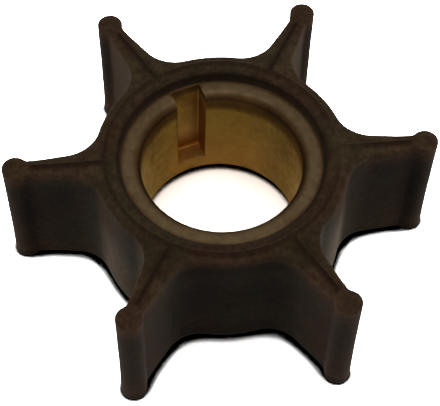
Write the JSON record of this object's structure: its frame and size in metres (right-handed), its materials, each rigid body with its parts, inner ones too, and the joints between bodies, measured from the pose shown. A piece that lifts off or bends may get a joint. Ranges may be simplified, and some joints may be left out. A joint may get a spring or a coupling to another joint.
{
  "type": "pump impeller",
  "caption": "Flexible vane water-pump impeller: a rubber hub with straight bead-tipped vanes, moulded on a keyed brass bush that slides on the drive shaft.",
  "frame": {"origin": "on the bore's axis, in the plane of the lower sealing ridges' end faces", "axes": "+Z along the bore towards the end where the keyway is open, +X along one vane, +Y to complete a right-handed frame"},
  "size_m": [0.06, 0.0524, 0.02],
  "materials": {
    "rubber": "moulded brown-black neoprene, satin, a little dusty",
    "brass": "turned brass, dull on the end face and golden in the bore, darker below the rim"
  },
  "bodies": {
    "root": {"vane_rubber": "rubber", "hub_bush": "brass"}
  },
  "joints": []
}
